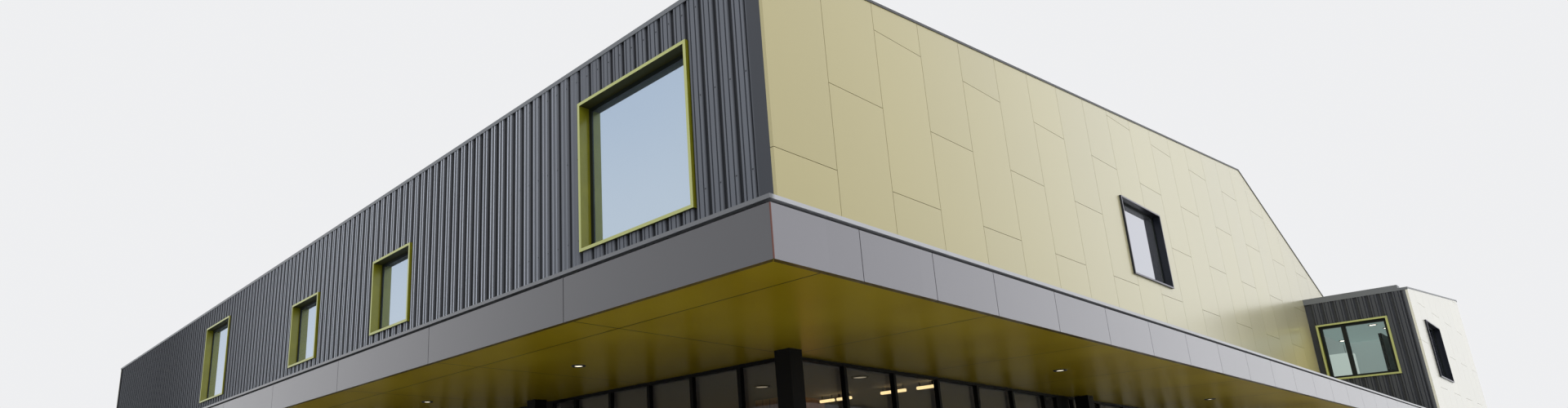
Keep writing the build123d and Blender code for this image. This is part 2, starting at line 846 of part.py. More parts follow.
pane_back = frame_back + pane_setback
slim_pane_back = slim_frame_back + pane_setback
with BuildPart() as window_panes:
    with BuildSketch(front_plane(pane_back)):
        cut_openings(front_openings, -wide_face)
    extrude(amount=-pane_thickness)
    with BuildSketch(front_plane(depth - pane_back)):
        cut_openings(front_openings, -wide_face)
    extrude(amount=pane_thickness)
    with BuildSketch(front_plane(wing_start + wing_frame_back + pane_setback)):
        cut_openings(wing_openings, -wide_face)
        with Locations((wing_light + wing_mullion / 2, wing_window_place[1] + wing_window[1] / 2)):
            Rectangle(wing_mullion, wing_window[1], mode=Mode.SUBTRACT)
    extrude(amount=-pane_thickness)
    with BuildSketch(side_plane(-slim_pane_back)):
        cut_openings(side_openings, -slim_face)
    extrude(amount=-pane_thickness)
    with BuildSketch(side_plane(wing_reach - slim_pane_back)):
        cut_openings(wing_side_openings, -slim_face)
    extrude(amount=-pane_thickness)
    with BuildSketch(side_plane(-front_length + slim_pane_back)):
        cut_openings(side_openings, -slim_face)
    extrude(amount=pane_thickness)
save(window_panes, "window_panes")

print(len(saved), "pieces written")
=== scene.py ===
"""Looks of the school building: finishes, fine metalwork, the lit rooms, light and camera.

Lengths are metres. Places are set out from the street corner of the upper walls, as on the
drawings: x runs along the front and is negative away from the corner, y runs back along the
gold side, z is the height above ground. SETTING_OUT moves them into the model's frame.
"""

import math

import bpy
import numpy as np
from mathutils import Matrix, Vector


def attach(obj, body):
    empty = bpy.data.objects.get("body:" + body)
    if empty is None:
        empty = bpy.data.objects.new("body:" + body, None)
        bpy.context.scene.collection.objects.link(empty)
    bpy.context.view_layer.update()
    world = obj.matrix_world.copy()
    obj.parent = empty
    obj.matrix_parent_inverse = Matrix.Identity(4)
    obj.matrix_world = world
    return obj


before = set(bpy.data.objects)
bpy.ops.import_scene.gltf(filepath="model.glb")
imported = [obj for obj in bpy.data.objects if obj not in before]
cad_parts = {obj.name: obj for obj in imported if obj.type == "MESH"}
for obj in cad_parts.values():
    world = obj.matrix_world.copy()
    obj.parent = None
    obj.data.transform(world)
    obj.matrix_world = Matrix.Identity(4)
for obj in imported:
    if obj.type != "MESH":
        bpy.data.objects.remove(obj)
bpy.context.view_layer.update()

SETTING_OUT = np.array([16.850, -15.913, 0.0])

# Building
FRONT = 36.0
DEPTH = 34.8
WING_Y = 24.0
WING_X = 2.3
CANOPY_Y = -3.0
FLOOR_TOP = 0.12
SOFFIT = 3.23
ROOM_CEILING = 3.25
DECK = 3.628
UPPER_FLOOR = 4.05
WING_CEILING = 6.62
WING_EAVES = 7.07
BACK_TOP = 8.1988
EAVES = 8.215
MODULE = 1.2
PANEL = 2.4
RIB_PITCH = 0.256
SHEET_WIDTH = 4 * RIB_PITCH
CORNER_TRIM = 0.27
WING_TRIM = 0.12

# Just short of the 38 mm by which the window boxes stand out
BOX_FACE = 0.0375

# Windows as middle, sill, width and height
FRONT_WINDOWS = (
    (-2.44, 5.275, 2.32, 2.34),
    (-21.74, 5.275, 2.32, 2.34),
    (-9.81, 5.275, 1.67, 1.57),
    (-14.45, 5.275, 1.67, 1.57),
)
WING_WINDOW = (0.95, 4.80, 1.59, 1.60)


# Node trees
class Flow:
    """One socket of a node tree that ordinary arithmetic works on."""

    def __init__(self, tree, socket):
        self.tree = tree
        self.socket = socket

    def math(self, operation, *values):
        node = self.tree.nodes.new("ShaderNodeMath")
        node.operation = operation
        for place, value in enumerate(values):
            feed(self.tree, node.inputs[place], value)
        return Flow(self.tree, node.outputs[0])

    def __add__(self, other):
        return self.math("ADD", self, other)

    __radd__ = __add__

    def __sub__(self, other):
        return self.math("SUBTRACT", self, other)

    def __rsub__(self, other):
        return self.math("SUBTRACT", other, self)

    def __mul__(self, other):
        return self.math("MULTIPLY", self, other)

    __rmul__ = __mul__

    def __neg__(self):
        return self * -1

    def __truediv__(self, other):
        return self.math("DIVIDE", self, other)

    def __gt__(self, other):
        return self.math("GREATER_THAN", self, other)

    def __lt__(self, other):
        return self.math("LESS_THAN", self, other)

    def floor(self):
        return self.math("FLOOR", self)

    def fraction(self):
        return self.math("FRACT", self)

    def ramp(self, low, high):
        """0 below low, 1 above high and a smooth rise between them."""
        node = self.tree.nodes.new("ShaderNodeMapRange")
        node.interpolation_type = "SMOOTHSTEP"
        feed(self.tree, node.inputs["Value"], self)
        node.inputs["From Min"].default_value = low
        node.inputs["From Max"].default_value = high
        return Flow(self.tree, node.outputs["Result"])


def feed(tree, socket, value):
    """Links a flow to a socket, or sets a plain value on it."""
    if isinstance(value, Flow):
        tree.links.new(value.socket, socket)
    elif isinstance(value, tuple) and len(value) == 3 and len(socket.default_value) == 4:
        socket.default_value = (*value, 1.0)
    else:
        socket.default_value = value


class Finish:
    """A material with one main shader; node() adds any node by its type."""

    def __init__(self, name, **sockets):
        self.material = bpy.data.materials.new(name)
        self.material.use_nodes = True
        self.tree = self.material.node_tree
        self.shader = self.tree.nodes["Principled BSDF"]
        place = self.tree.nodes.new("ShaderNodeTexCoord")
        self.place = Flow(self.tree, place.outputs["Object"])
        self.set(**sockets)

    def set(self, **sockets):
        """Sets or links the main shader's sockets, written with _ for a space."""
        for name, value in sockets.items():
            feed(self.tree, self.shader.inputs[name.replace("_", " ")], value)

    def node(self, kind, settings=None, inputs=None, output=0):
        made = self.tree.nodes.new(kind)
        for name, value in (settings or {}).items():
            setattr(made, name, value)
        for name, value in (inputs or {}).items():
            feed(self.tree, made.inputs[name], value)
        return Flow(self.tree, made.outputs[output])

    def axes(self):
        """The three coordinates from the setting-out corner."""
        moved = self.node(
            "ShaderNodeVectorMath",
            {"operation": "SUBTRACT"},
            {0: self.place, 1: tuple(SETTING_OUT)},
        )
        split = self.tree.nodes.new("ShaderNodeSeparateXYZ")
        feed(self.tree, split.inputs[0], moved)
        return [Flow(self.tree, socket) for socket in split.outputs]

    def facing(self, axis):
        """How far the surface faces along an axis, from -1 to 1."""
        shape = self.tree.nodes.new("ShaderNodeNewGeometry")
        split = self.tree.nodes.new("ShaderNodeSeparateXYZ")
        self.tree.links.new(shape.outputs["Normal"], split.inputs[0])
        return Flow(self.tree, split.outputs[axis])

    def underside(self):
        """1 on faces that look down, 0 on the rest."""
        return self.facing("Z") < -0.5

    def stretched(self, x, y, z):
        return self.node(
            "ShaderNodeVectorMath", {"operation": "MULTIPLY"}, {0: self.place, 1: (x, y, z)}
        )

    def noise(self, scale, detail=3.0, vector=None):
        return self.node(
            "ShaderNodeTexNoise",
            None,
            {"Vector": vector or self.place, "Scale": scale, "Detail": detail},
        )

    def chance(self, number):
        """A random value from 0 to 1 for each whole number."""
        return self.node("ShaderNodeTexWhiteNoise", {"noise_dimensions": "1D"}, {"W": number})

    def chance_of_cell(self, column, row):
        """A random value from 0 to 1 for each cell of a plane."""
        cell = self.node("ShaderNodeCombineXYZ", None, {0: column, 1: row, 2: 0.0})
        return self.node("ShaderNodeTexWhiteNoise", {"noise_dimensions": "2D"}, {"Vector": cell})

    def mix(self, factor, first, second):
        made = self.tree.nodes.new("ShaderNodeMix")
        made.data_type = "RGBA"
        made.clamp_factor = True
        feed(self.tree, made.inputs[0], factor)
        feed(self.tree, made.inputs[6], first)
        feed(self.tree, made.inputs[7], second)
        return Flow(self.tree, made.outputs[2])

    def shade(self, colour, level):
        """A colour made darker or lighter by a level, with its hue kept."""
        grey = self.node("ShaderNodeCombineXYZ", None, {0: level, 1: level, 2: level})
        return self.node("ShaderNodeVectorMath", {"operation": "MULTIPLY"}, {0: colour, 1: grey})

    def bump(self, height, depth):
        bumped = self.node(
            "ShaderNodeBump", None, {"Height": height, "Distance": depth, "Strength": 1.0}
        )
        self.set(Normal=bumped)

    def sheet_ripple(self):
        """The fine grain and slow waves of coated sheet metal."""
        self.bump(self.noise(55.0, 2.0) * 0.25 + self.noise(1.4, 1.0), 0.0016)


def linear(red, green, blue):
    """Scene-linear colour of a screen colour given in 0 to 255."""
    return tuple(
        ((value / 255 + 0.055) / 1.055) ** 2.4 if value > 10 else value / 3294.6
        for value in (red, green, blue)
    )


def satin_metal(name, colour, spread=0.10, roughness=0.38, metal=0.25, coat=0.0, streaks=2.2):
    """Coated sheet metal: faint rain streaks, cloudy gloss and the fine ripple of flat sheet."""
    finish = Finish(name, Metallic=metal)
    streak = finish.noise(streaks, 4.0, finish.stretched(1.0, 1.0, 0.09))
    cloud = finish.noise(0.6, 2.0)
    level = 1 + spread * (streak - 0.5) * 2 + spread * 0.6 * (cloud - 0.5) * 2
    finish.set(
        Base_Color=finish.shade(colour, level),
        Roughness=roughness + 0.16 * (cloud - 0.5) + 0.10 * (streak - 0.5),
        Coat_Weight=coat,
        Coat_Roughness=0.22,
    )
    finish.sheet_ripple()
    return finish


def ribbed_steel():
    """Charcoal ribbed sheets: rain streaks, painted shade in the valleys and on the rib sides, and
    duller at the far end with painted shade.
    """
    finish = Finish(
        "charcoal_ribbed_steel", Metallic=0.15, Specular_IOR_Level=0.12, Coat_Roughness=0.24
    )
    x, y = finish.axes()[:2]
    streak = finish.noise(2.2, 4.0, finish.stretched(1.0, 1.0, 0.09))
    sheet = finish.chance((x / SHEET_WIDTH).floor())
    front = y < 1.0
    back = y > 34.0
    wing = (y > 20.0) * (y < 30.0)
    along = (-x).ramp(2.0, 6.5) * front
    far = (-x).ramp(10.0, 29.0) * front

    # Rain streaks, sheet by sheet; the corner's trim is darker, and the rear bar's street face is
    # darker with painted shade
    level = 1.0 + 0.16 * (streak - 0.5) + 0.06 * (sheet - 0.5)
    level = level * (1 - 0.54 * x.ramp(-0.30, -0.24) * front - 0.79 * wing)

    # The back is lighter; the front beyond its first ribs is lighter with a painted highlight, and
    # its far end duller with painted shade
    level = level * (1 + 0.60 * along + 0.30 * back) * (1 - 0.66 * far)

    # Shade in the valleys and on the ribs' sides; the plain ends of the trims have none
    near, deep = 0.004, 0.036
    valley = y.ramp(near, deep) * front + y.ramp(WING_Y + near, WING_Y + deep) * (y < 25.0)
    valley = valley + (1 - y.ramp(DEPTH - deep, DEPTH - near)) * back
    rib_side = finish.facing("X").math("ABSOLUTE").ramp(0.2, 0.5)
    rib_side = rib_side * (x < 2.25 * (y > 20.0) - 0.05)
    valley_shade = 0.76 - 0.60 * wing
    side_shade = 0.66 - 0.30 * wing + 0.26 * along
    level = level * (1 - valley_shade * valley) * (1 - side_shade * rib_side)
    finish.set(
        Base_Color=finish.shade(linear(183, 188, 199), level),
        Roughness=0.38 + 0.35 * far + 0.14 * (streak - 0.5),
        Coat_Weight=(0.5 + 0.5 * along) * (1 - far) * (1 - 0.7 * valley) * (1 - rib_side * front),
    )
    finish.sheet_ripple()
    return finish


charcoal = ribbed_steel()
groove_dark = satin_metal("charcoal_groove_shade", linear(46, 49, 55), 0.06, 0.55, 0.0)
groove_dark.set(Specular_IOR_Level=0.1)


def bead_metal():
    """Seams pressed into the ribs, with painted light: painted shade near the corner, a painted
    highlight beyond it and painted shade at the far end.
    """
    finish = Finish(
        "charcoal_bead_metal", Metallic=0.1, Specular_IOR_Level=0.1, Coat_Roughness=0.35
    )
    x, y = finish.axes()[:2]
    streak = finish.noise(2.2, 4.0, finish.stretched(1.0, 1.0, 0.09))
    front = y < 1.0
    along = (-x).ramp(2.5, 6.0) * front
    far = (-x).ramp(10.0, 29.0) * front
    # Painted shade near the corner turning to a painted highlight beyond it
    hue = finish.mix(along, linear(46, 49, 55), linear(204, 209, 220))
    level = (1 + 0.12 * (streak - 0.5)) * (1 - 0.78 * far)
    finish.set(
        Base_Color=finish.shade(hue, level),
        Roughness=0.5 + 0.1 * (streak - 0.5),
        Coat_Weight=0.3 * along * (1 - far),
    )
    finish.bump(finish.noise(55.0, 2.0), 0.0004)
    return finish


bead_dark = bead_metal()
coping_grey = satin_metal("grey_coping_metal", linear(112, 115, 119), 0.08, 0.36, 0.3)
coping_dark = satin_metal("dark_coping_metal", linear(72, 73, 76), 0.08, 0.42, 0.1)
column_black = satin_metal("black_column_paint", linear(12, 12, 13), 0.10, 0.5, 0.0)
frame_black = satin_metal("black_glazing_metal", linear(11, 11, 12), 0.10, 0.45, 0.0)
for black in (column_black, frame_black):
    black.set(Specular_IOR_Level=0.05)
inner_metal = satin_metal("grey_green_frame_metal", linear(21, 27, 24), 0.07, 0.42, 0.1)
inner_metal.set(Specular_IOR_Level=0.25)


def slate_box():
    """Slate box frames of the gold sides: pale front edges round navy reveals, and painted shade
    underneath.
    """
    finish = Finish("slate_window_metal", Metallic=0.1, Specular_IOR_Level=0.3, Coat_Weight=0.15)
    x = finish.axes()[0]
    cloud = finish.noise(3.0, 3.0)
    hue = finish.mix(cloud, linear(17, 21, 30), linear(21, 26, 36))
    front_edge = (x > BOX_FACE) * (x < 0.2) + (x > WING_X + BOX_FACE) + (x < -FRONT - BOX_FACE)
    hue = finish.mix(front_edge, hue, linear(132, 130, 140))
    # Painted shade on the faces that look down
    hue = finish.mix(finish.underside(), hue, linear(9, 10, 17))
    finish.set(Base_Color=hue, Roughness=0.4 + 0.1 * (cloud - 0.5))
    finish.bump(finish.noise(40.0, 2.0), 0.0004)
    return finish


slate_metal = slate_box()


def pale_flashing():
    """Flashing along the canopy edge: painted shade makes it darker on the street front than on the
    gold side.
    """
    finish = Finish("canopy_flashing_metal", Metallic=0.3, Coat_Weight=0.8, Coat_Roughness=0.25)
    y = finish.axes()[1]
    streak = finish.noise(3.0, 3.0, finish.stretched(1.0, 1.0, 0.2))
    # Painted shade on the street front, lighter on the gold side
    on_side = y.ramp(CANOPY_Y, CANOPY_Y + 0.05)
    hue = finish.mix(on_side, linear(98, 100, 104), linear(176, 177, 181))
    finish.set(Base_Color=finish.shade(hue, 0.96 + 0.1 * (streak - 0.5)), Roughness=0.36)
    finish.bump(finish.noise(1.4, 1.0), 0.001)
    return finish


flashing_grey = pale_flashing()


def gold_sheet():
    """Champagne panels under a clear coat: gold when faced, paler where seen along the wall, with a
    painted reflection that pales the colour away from the corner.

    Each panel is a touch lighter or darker; the rear bar's end panels are painted the palest as a
    reflection, and a yellower patch at the foot by the rear bar is a painted reflection of its dark
    face.
    """
    finish = Finish("champagne_gold_panel", Metallic=0.3)
    x, y, z = finish.axes()
    column = (y / MODULE).floor()
    row = ((z - 3.24) / PANEL + column * 0.5).floor()
    chance = finish.chance_of_cell(column, row)
    cloud = finish.noise(0.35, 3.0)
    # Painted reflection: the colour grows paler away from the corner
    hue = finish.mix(y.ramp(0.0, 14.0), linear(180, 169, 116), linear(206, 199, 160))
    # Painted reflection of the rear bar's dark face: a yellower patch at the foot, with less coat
    low_end = (1 - (z + 0.30 * (WING_Y - y)).ramp(5.7, 7.2)) * y.ramp(15.5, 23.0)
    low_end = low_end * (y < WING_Y) * (x > -1.0)
    hue = finish.mix(low_end, hue, linear(211, 199, 138))
    # Painted reflection: the rear bar's end panels are the palest
    hue = finish.mix(x.ramp(1.0, 2.0), hue, linear(232, 229, 212))
    level = 0.985 + 0.05 * (chance - 0.5) + 0.06 * (cloud - 0.5)
    finish.set(
        Base_Color=finish.shade(hue, level),
        Roughness=0.36 + 0.06 * (chance - 0.5) + 0.12 * (cloud - 0.5),
        Coat_Weight=1 - 0.8 * low_end,
        Coat_Roughness=0.22,
        Coat_IOR=1.6,
    )
    finish.bump(finish.noise(0.9, 1.0) + 0.15 * finish.noise(80.0, 1.0), 0.0022)
    return finish


gold = gold_sheet()


def fascia_sheet():
    """Grey metallic edge panels, cloudy and faintly violet, with a slight change at each joint;
    painted shade darkens the street front and painted light brightens the gold side.
    """
    finish = Finish("grey_metallic_fascia", Metallic=0.55)
    x, y = finish.axes()[:2]
    chance = finish.chance_of_cell((x / PANEL).floor(), (y / MODULE).floor())
    cloud = finish.noise(0.8, 3.0)
    # Painted shade on the street front and painted light on the gold side, as shaded and lit tones
    # of one grey
    street = finish.mix((-x).ramp(-2.0, 7.0), linear(71, 71, 75), linear(103, 102, 106))
    street = finish.mix((-x).ramp(9.0, 24.0), street, linear(86, 84, 86))
    side = finish.mix(y.ramp(CANOPY_Y, 6.0), linear(127, 126, 132), linear(150, 149, 155))
    hue = finish.mix(y.ramp(CANOPY_Y + 0.001, CANOPY_Y + 0.008), street, side)
    hue = finish.mix(finish.underside(), hue, linear(112, 92, 10))
    finish.set(
        Base_Color=finish.shade(hue, 0.97 + 0.05 * (chance - 0.5) + 0.08 * (cloud - 0.5)),
        Roughness=0.34 + 0.14 * (cloud - 0.5),
        Coat_Weight=1.0,
        Coat_Roughness=0.2,
        Coat_IOR=1.6,
    )
    finish.bump(finish.noise(1.1, 1.0), 0.0015)
    return finish


fascia = fascia_sheet()


def soffit_sheet():
    """Glossy olive-gold soffit panels with fine open joints, and painted shade deeper under the
    canopy.
    """
    finish = Finish("olive_gold_soffit", Metallic=0.7, Specular_IOR_Level=0.3)
    x, y = finish.axes()[:2]
    joint = 0.006
    line = ((x / PANEL).fraction() < joint) + ((y / PANEL).fraction() < joint)
    cloud = finish.noise(0.9, 3.0)
    hue = finish.mix(cloud.ramp(0.3, 0.7), linear(206, 176, 12), linear(216, 188, 34))
    # Painted shade deeper under the canopy, away from its open edges
    inner = y.ramp(-2.8, 0.3) * (1 - x.ramp(-0.3, 2.2))
    hue = finish.shade(hue, 0.94 - 0.42 * inner)
    finish.set(
        Base_Color=finish.mix(line, hue, linear(60, 50, 8)),
        Roughness=0.30 + 0.08 * (cloud - 0.5),
    )
    finish.bump(finish.noise(1.0, 1.0) + 0.1 * finish.noise(60.0, 1.0), 0.002)
    return finish


soffit = soffit_sheet()


def lime_metal():
    """Yellow-green box frames: front edges painted pale and reveals olive as lit and shaded faces,
    and painted shade on the head underneath.
    """
    finish = Finish("lime_box_frame_metal", Metallic=0.15)
    y = finish.axes()[1]
    cloud = finish.noise(3.0, 3.0)
    hue = finish.mix(cloud.ramp(0.3, 0.7), linear(116, 114, 16), linear(126, 124, 24))
    wing_edge = (y > WING_Y - 0.05) * (y < WING_Y - BOX_FACE)
    front_edge = (y < -BOX_FACE) + (y > DEPTH + BOX_FACE) + wing_edge
    # Painted light: the front edges paler than the shaded reveals
    hue = finish.mix(front_edge, hue, linear(186, 190, 118))
    under = finish.underside()
    # Painted shade on the head underneath
    hue = finish.mix(under, hue, linear(54, 54, 8))
    finish.set(
        Base_Color=hue,
        Roughness=0.34 + 0.12 * (cloud - 0.5) + 0.30 * under,
        Coat_Weight=0.2 * (1 - under),
        Coat_Roughness=0.15,
    )
    finish.bump(finish.noise(40.0, 2.0), 0.0004)
    return finish


lime = lime_metal()


def sky_glass():
    """Upper panes: part mirrors that hold the sky and their frames, with a painted reflection of
    the sky that is paler on the gold side; the wing's shows its room.
    """
    finish = Finish("pale_sky_pane", Roughness=0.04, IOR=1.5)
    x, y, z = finish.axes()
    cloud = finish.noise(0.5, 3.0)
    wing_front = (x > 0.0) * (y > WING_Y) * (y < 24.5)
    wing_side = (x > 1.9) * (y > 25.0)
    # Painted reflection of the sky, changing with height and paler on the gold side
    height = z.ramp(5.3, 7.6) + 0.35 * (cloud - 0.5)
    sky = finish.mix(height, linear(194, 209, 224), linear(182, 200, 220))
    hue = finish.mix((x > -1.0) * (y < 20.0), sky, linear(214, 216, 224))
    hue = finish.mix(wing_front, hue, linear(58, 66, 66))
    hue = finish.mix(wing_side, hue, linear(92, 100, 118))
    finish.set(Base_Color=hue, Alpha=1 - 0.78 * wing_front, Metallic=0.94 - 0.94 * wing_front)
    return finish


pane = sky_glass()
glass = Finish("grey_tinted_glass", Roughness=0.03, Alpha=0.42, Specular_IOR_Level=0.7)
glass.set(Base_Color=linear(34, 33, 31))


def plain(name, colour, spread, roughness, scale=1.2):
    """A matt surface with a cloudy tone and a fine grain."""
    finish = Finish(name)
    cloud = finish.noise(scale, 5.0)
    grain = finish.noise(scale * 24, 3.0)
    level = 1 + spread * 2 * (cloud - 0.5) + spread * (grain - 0.5)
    finish.set(Base_Color=finish.shade(colour, level), Roughness=roughness + 0.1 * (cloud - 0.5))
    finish.bump(grain, 0.0015)
    return finish


def deck_membrane():
    """Canopy deck: grey membrane on top, and its edge behind the fascia's open joint painted black
    as the joint's shade.
    """
    finish = Finish("canopy_deck_membrane", Roughness=0.75, Specular_IOR_Level=0.2)
    z = finish.axes()[2]
    cloud = finish.noise(1.2, 5.0)
    top = finish.mix(cloud, linear(98, 101, 104), linear(110, 113, 116))
    # Painted shade: the edge below the deck's top is black
    finish.set(Base_Color=finish.mix(z > DECK - 0.0005, linear(6, 6, 7), top))
    return finish


def lit_board(name, colour, strength):
    """A room surface that also glows softly with the light of its own room."""
    finish = plain(name, colour, 0.03, 0.7)
    finish.set(Emission_Color=colour, Emission_Strength=strength)
    return finish


def lapped_membrane():
    """Roof membrane laid in strips 1.5 m wide down the slope, each a little lighter or darker."""
    finish = Finish("roof_membrane")
    x = finish.axes()[0]
    strip_width = 1.5
    strip = finish.chance((x / strip_width).floor())
    lap = (x / strip_width).fraction() < 0.02
    cloud = finish.noise(0.5, 4.0)
    grain = finish.noise(26.0, 3.0)
    level = 1 + 0.14 * (strip - 0.5) + 0.14 * (cloud - 0.5) + 0.08 * (grain - 0.5)
    level = level * (1 - 0.3 * lap)
    finish.set(
        Base_Color=finish.shade(linear(104, 107, 110), level),
        Roughness=0.7 + 0.1 * (cloud - 0.5),
    )
    finish.bump(lap + 0.3 * grain, 0.003)
    return finish


membrane = lapped_membrane()
canopy_membrane = deck_membrane()
concrete = plain("floor_concrete", linear(150, 148, 144), 0.10, 0.8)
lining = plain("wall_lining_board", linear(176, 176, 172), 0.04, 0.75)
ceiling = plain("room_ceiling_board", linear(150, 146, 140), 0.05, 0.75)


def timber_boards():
    """Warm boards: upright boards with long grain stretched along them."""
    finish = Finish("warm_timber_boards")
    x = finish.axes()[0]
    grain = finish.noise(9.0, 6.0, finish.stretched(3.0, 3.0, 0.18))
    board_width = 0.14
    board = (x / board_width).fraction()
    gap = (board < 0.03) + (board > 0.97)
    hue = finish.mix(grain.ramp(0.3, 0.7), linear(178, 118, 70), linear(206, 150, 98))
    finish.set(
        Base_Color=finish.mix(gap, hue, linear(70, 44, 26)),
        Roughness=0.5 + 0.2 * (grain - 0.5),
    )
    finish.bump(grain, 0.001)
    return finish


def lamp_glow(name, colour, strength):
    """A lamp's lens: warm white with a faint ripple, glowing."""
    finish = Finish(name, Roughness=0.4, Emission_Strength=strength)
    ripple = finish.noise(9.0, 1.0)
    finish.set(Base_Color=finish.mix(ripple.ramp(0.3, 0.7), (0.8, 0.76, 0.68), (0.85, 0.82, 0.75)))
    finish.set(Emission_Color=colour)
    return finish


downlight_glow = lamp_glow("downlight_lens", linear(255, 244, 214), 1.6)
room_lamp = lamp_glow("room_lamp_lens", linear(255, 246, 226), 6.0)
hall_lamp = lamp_glow("hall_lamp_lens", linear(255, 236, 200), 0.7)
line_lamp = lamp_glow("warm_line_lamp", linear(255, 222, 160), 3.2)
fixing_dark = satin_metal("dark_fixing_paint", linear(44, 47, 52), 0.05, 0.45, 0.1)
sealant = plain("copper_sealant", linear(98, 56, 46), 0.05, 0.6)
white_board = lit_board("white_lacquer_board", linear(206, 222, 214), 0.95)
wing_wall_board = lit_board("wing_room_wall_board", linear(150, 166, 162), 0.9)
wing_ceiling_board = lit_board("wing_room_ceiling_board", linear(132, 152, 148), 1.0)
timber = timber_boards()

FINISH_OF = {
    "ground_floor_slab": concrete,
    "upper_floor_slab": concrete,
    "ground_floor_ceiling": ceiling,
    "wing_ceiling": wing_ceiling_board,
    "front_wall": lining,
    "side_wall": lining,
    "west_wall": lining,
    "back_wall": lining,
    "wing_front_wall": lining,
    "wing_side_wall": lining,
    "roof_front_slope": membrane,
    "roof_steep_slope": membrane,
    "roof_rear_bar": membrane,
    "front_ribbed_cladding": charcoal,
    "wing_ribbed_cladding": charcoal,
    "back_ribbed_cladding": charcoal,
    "corner_trims": charcoal,
    "side_gold_panels": gold,
    "west_gold_panels": gold,
    "wing_gold_panels": gold,
    "front_coping": coping_grey,
    "back_coping": coping_grey,
    "side_coping": coping_dark,
    "west_coping": coping_dark,
    "wing_coping": coping_grey,
    "canopy_soffit": soffit,
    "canopy_deck": canopy_membrane,
    "canopy_edge_beam": column_black,
    "canopy_fascia": fascia,
    "rear_band": fascia,
    "canopy_flashing": flashing_grey,
    "canopy_downlights": downlight_glow,
    "canopy_columns": column_black,
    "front_glazing_frame": frame_black,
    "side_glazing_frame": frame_black,
    "back_glazing_frame": frame_black,
    "west_glazing_frame": frame_black,
    "ground_floor_glass": glass,
    "front_window_boxes": lime,
    "back_window_boxes": lime,
    "wing_window_box": lime,
    "side_window_boxes": slate_metal,
    "window_inner_frames": inner_metal,
    "window_panes": pane,
}
for name, finish in FINISH_OF.items():
    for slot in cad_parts[name].material_slots:
        slot.material = finish.material


# Fine metalwork
def mesh_piece(name, surface, finish):
    """A finished piece from a surface: points in setting-out metres, and faces."""
    points, faces = surface
    mesh = bpy.data.meshes.new(name)
    mesh.from_pydata((points + SETTING_OUT).tolist(), [], faces.tolist())
    mesh.materials.append(finish.material)
    mesh.validate()
    piece = bpy.data.objects.new(name, mesh)
    bpy.context.scene.collection.objects.link(piece)
    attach(piece, "root")


def gather(blocks):
    """Joins blocks of points and faces into one pair, each block's faces moved past the last."""
    points, faces, count = [], [], 0
    for block_points, block_faces in blocks:
        points.append(block_points)
        faces.append(block_faces + count)
        count += len(block_points)
    return np.concatenate(points), np.concatenate(faces)


def clear_runs(lines, low, high, windows, margin):
    """Upright runs (x, low, high) at the lines, split where a window lies across them."""
    runs = np.column_stack([lines, np.full_like(lines, low), np.full_like(lines, high)])
    for middle, sill, width, height in windows:
        across = np.abs(runs[:, 0] - middle) < width / 2 + margin
        below, above = runs[across].copy(), runs[across].copy()
        below[:, 2] = sill
        above[:, 1] = sill + height
        runs = np.concatenate([runs[~across], below, above])
    return runs


def upright_beads(runs, out_at, facing, section):
    """Strips carried straight up: a section (along, out) swept from each run's foot to its head.

    Along is +x on a front that faces -y and -x on a back that faces +y.
    """
    n = len(section)
    points = np.zeros((len(runs), 2, n, 3))
    points[..., 0] = runs[:, 0, None, None] - facing * section[:, 0]
    points[..., 1] = out_at + facing * section[:, 1]
    points[..., 2] = runs[:, 1:, None]
    k = np.arange(n - 1)
    strip = np.stack([k, k + 1, k + 1 + n, k + n], 1)
    faces = (np.arange(len(runs)) * 2 * n)[:, None, None] + strip
    return points.reshape(-1, 3), faces.reshape(-1, 4)


def ring_faces(rings, sides, count):
    """Faces between neighbouring rings of points, alike for each of a count of round pieces."""
    r, a = np.meshgrid(np.arange(rings - 1), np.arange(sides), indexing="ij")
    lower, upper = r * sides, (r + 1) * sides
    step = (a + 1) % sides
    quad = np.stack([lower + a, lower + step, upper + step, upper + a], -1)
    faces = (np.arange(count) * rings * sides)[:, None, None] + quad.reshape(-1, 4)
    return faces.reshape(-1, 4)


def screw_heads(places, facing, radius=0.011, height=0.006, sides=8):
    """Low domed heads on an upright face: rings of falling radius about each place."""
    rings = np.array([[1.0, -0.2], [0.9, 0.6], [0.45, 1.0], [0.0, 1.05]])
    angle = np.arange(sides) * 2 * np.pi / sides
    points = np.zeros((len(places), len(rings), sides, 3))
    ring_radius = radius * rings[:, :1]
    points[..., 0] = places[:, 0, None, None] - facing * ring_radius * np.cos(angle)
    points[..., 1] = places[:, 1, None, None] + facing * height * rings[:, 1:]
    points[..., 2] = places[:, 2, None, None] + ring_radius * np.sin(angle)
    return points.reshape(-1, 3), ring_faces(len(rings), sides, len(places))


def turned(profile, places, sides=28):
    """Round pieces about upright axes: a profile (radius, height) turned at each place."""
    profile = np.asarray(profile, float)
    angle = np.arange(sides) * 2 * np.pi / sides
    points = np.zeros((len(places), len(profile), sides, 3))
    places = np.asarray(places, float)
    points[..., 0] = places[:, 0, None, None] + profile[:, :1] * np.cos(angle)
    points[..., 1] = places[:, 1, None, None] + profile[:, :1] * np.sin(angle)
    points[..., 2] = places[:, 2, None, None] + profile[:, 1:]
    return points.reshape(-1, 3), ring_faces(len(profile), sides, len(places))


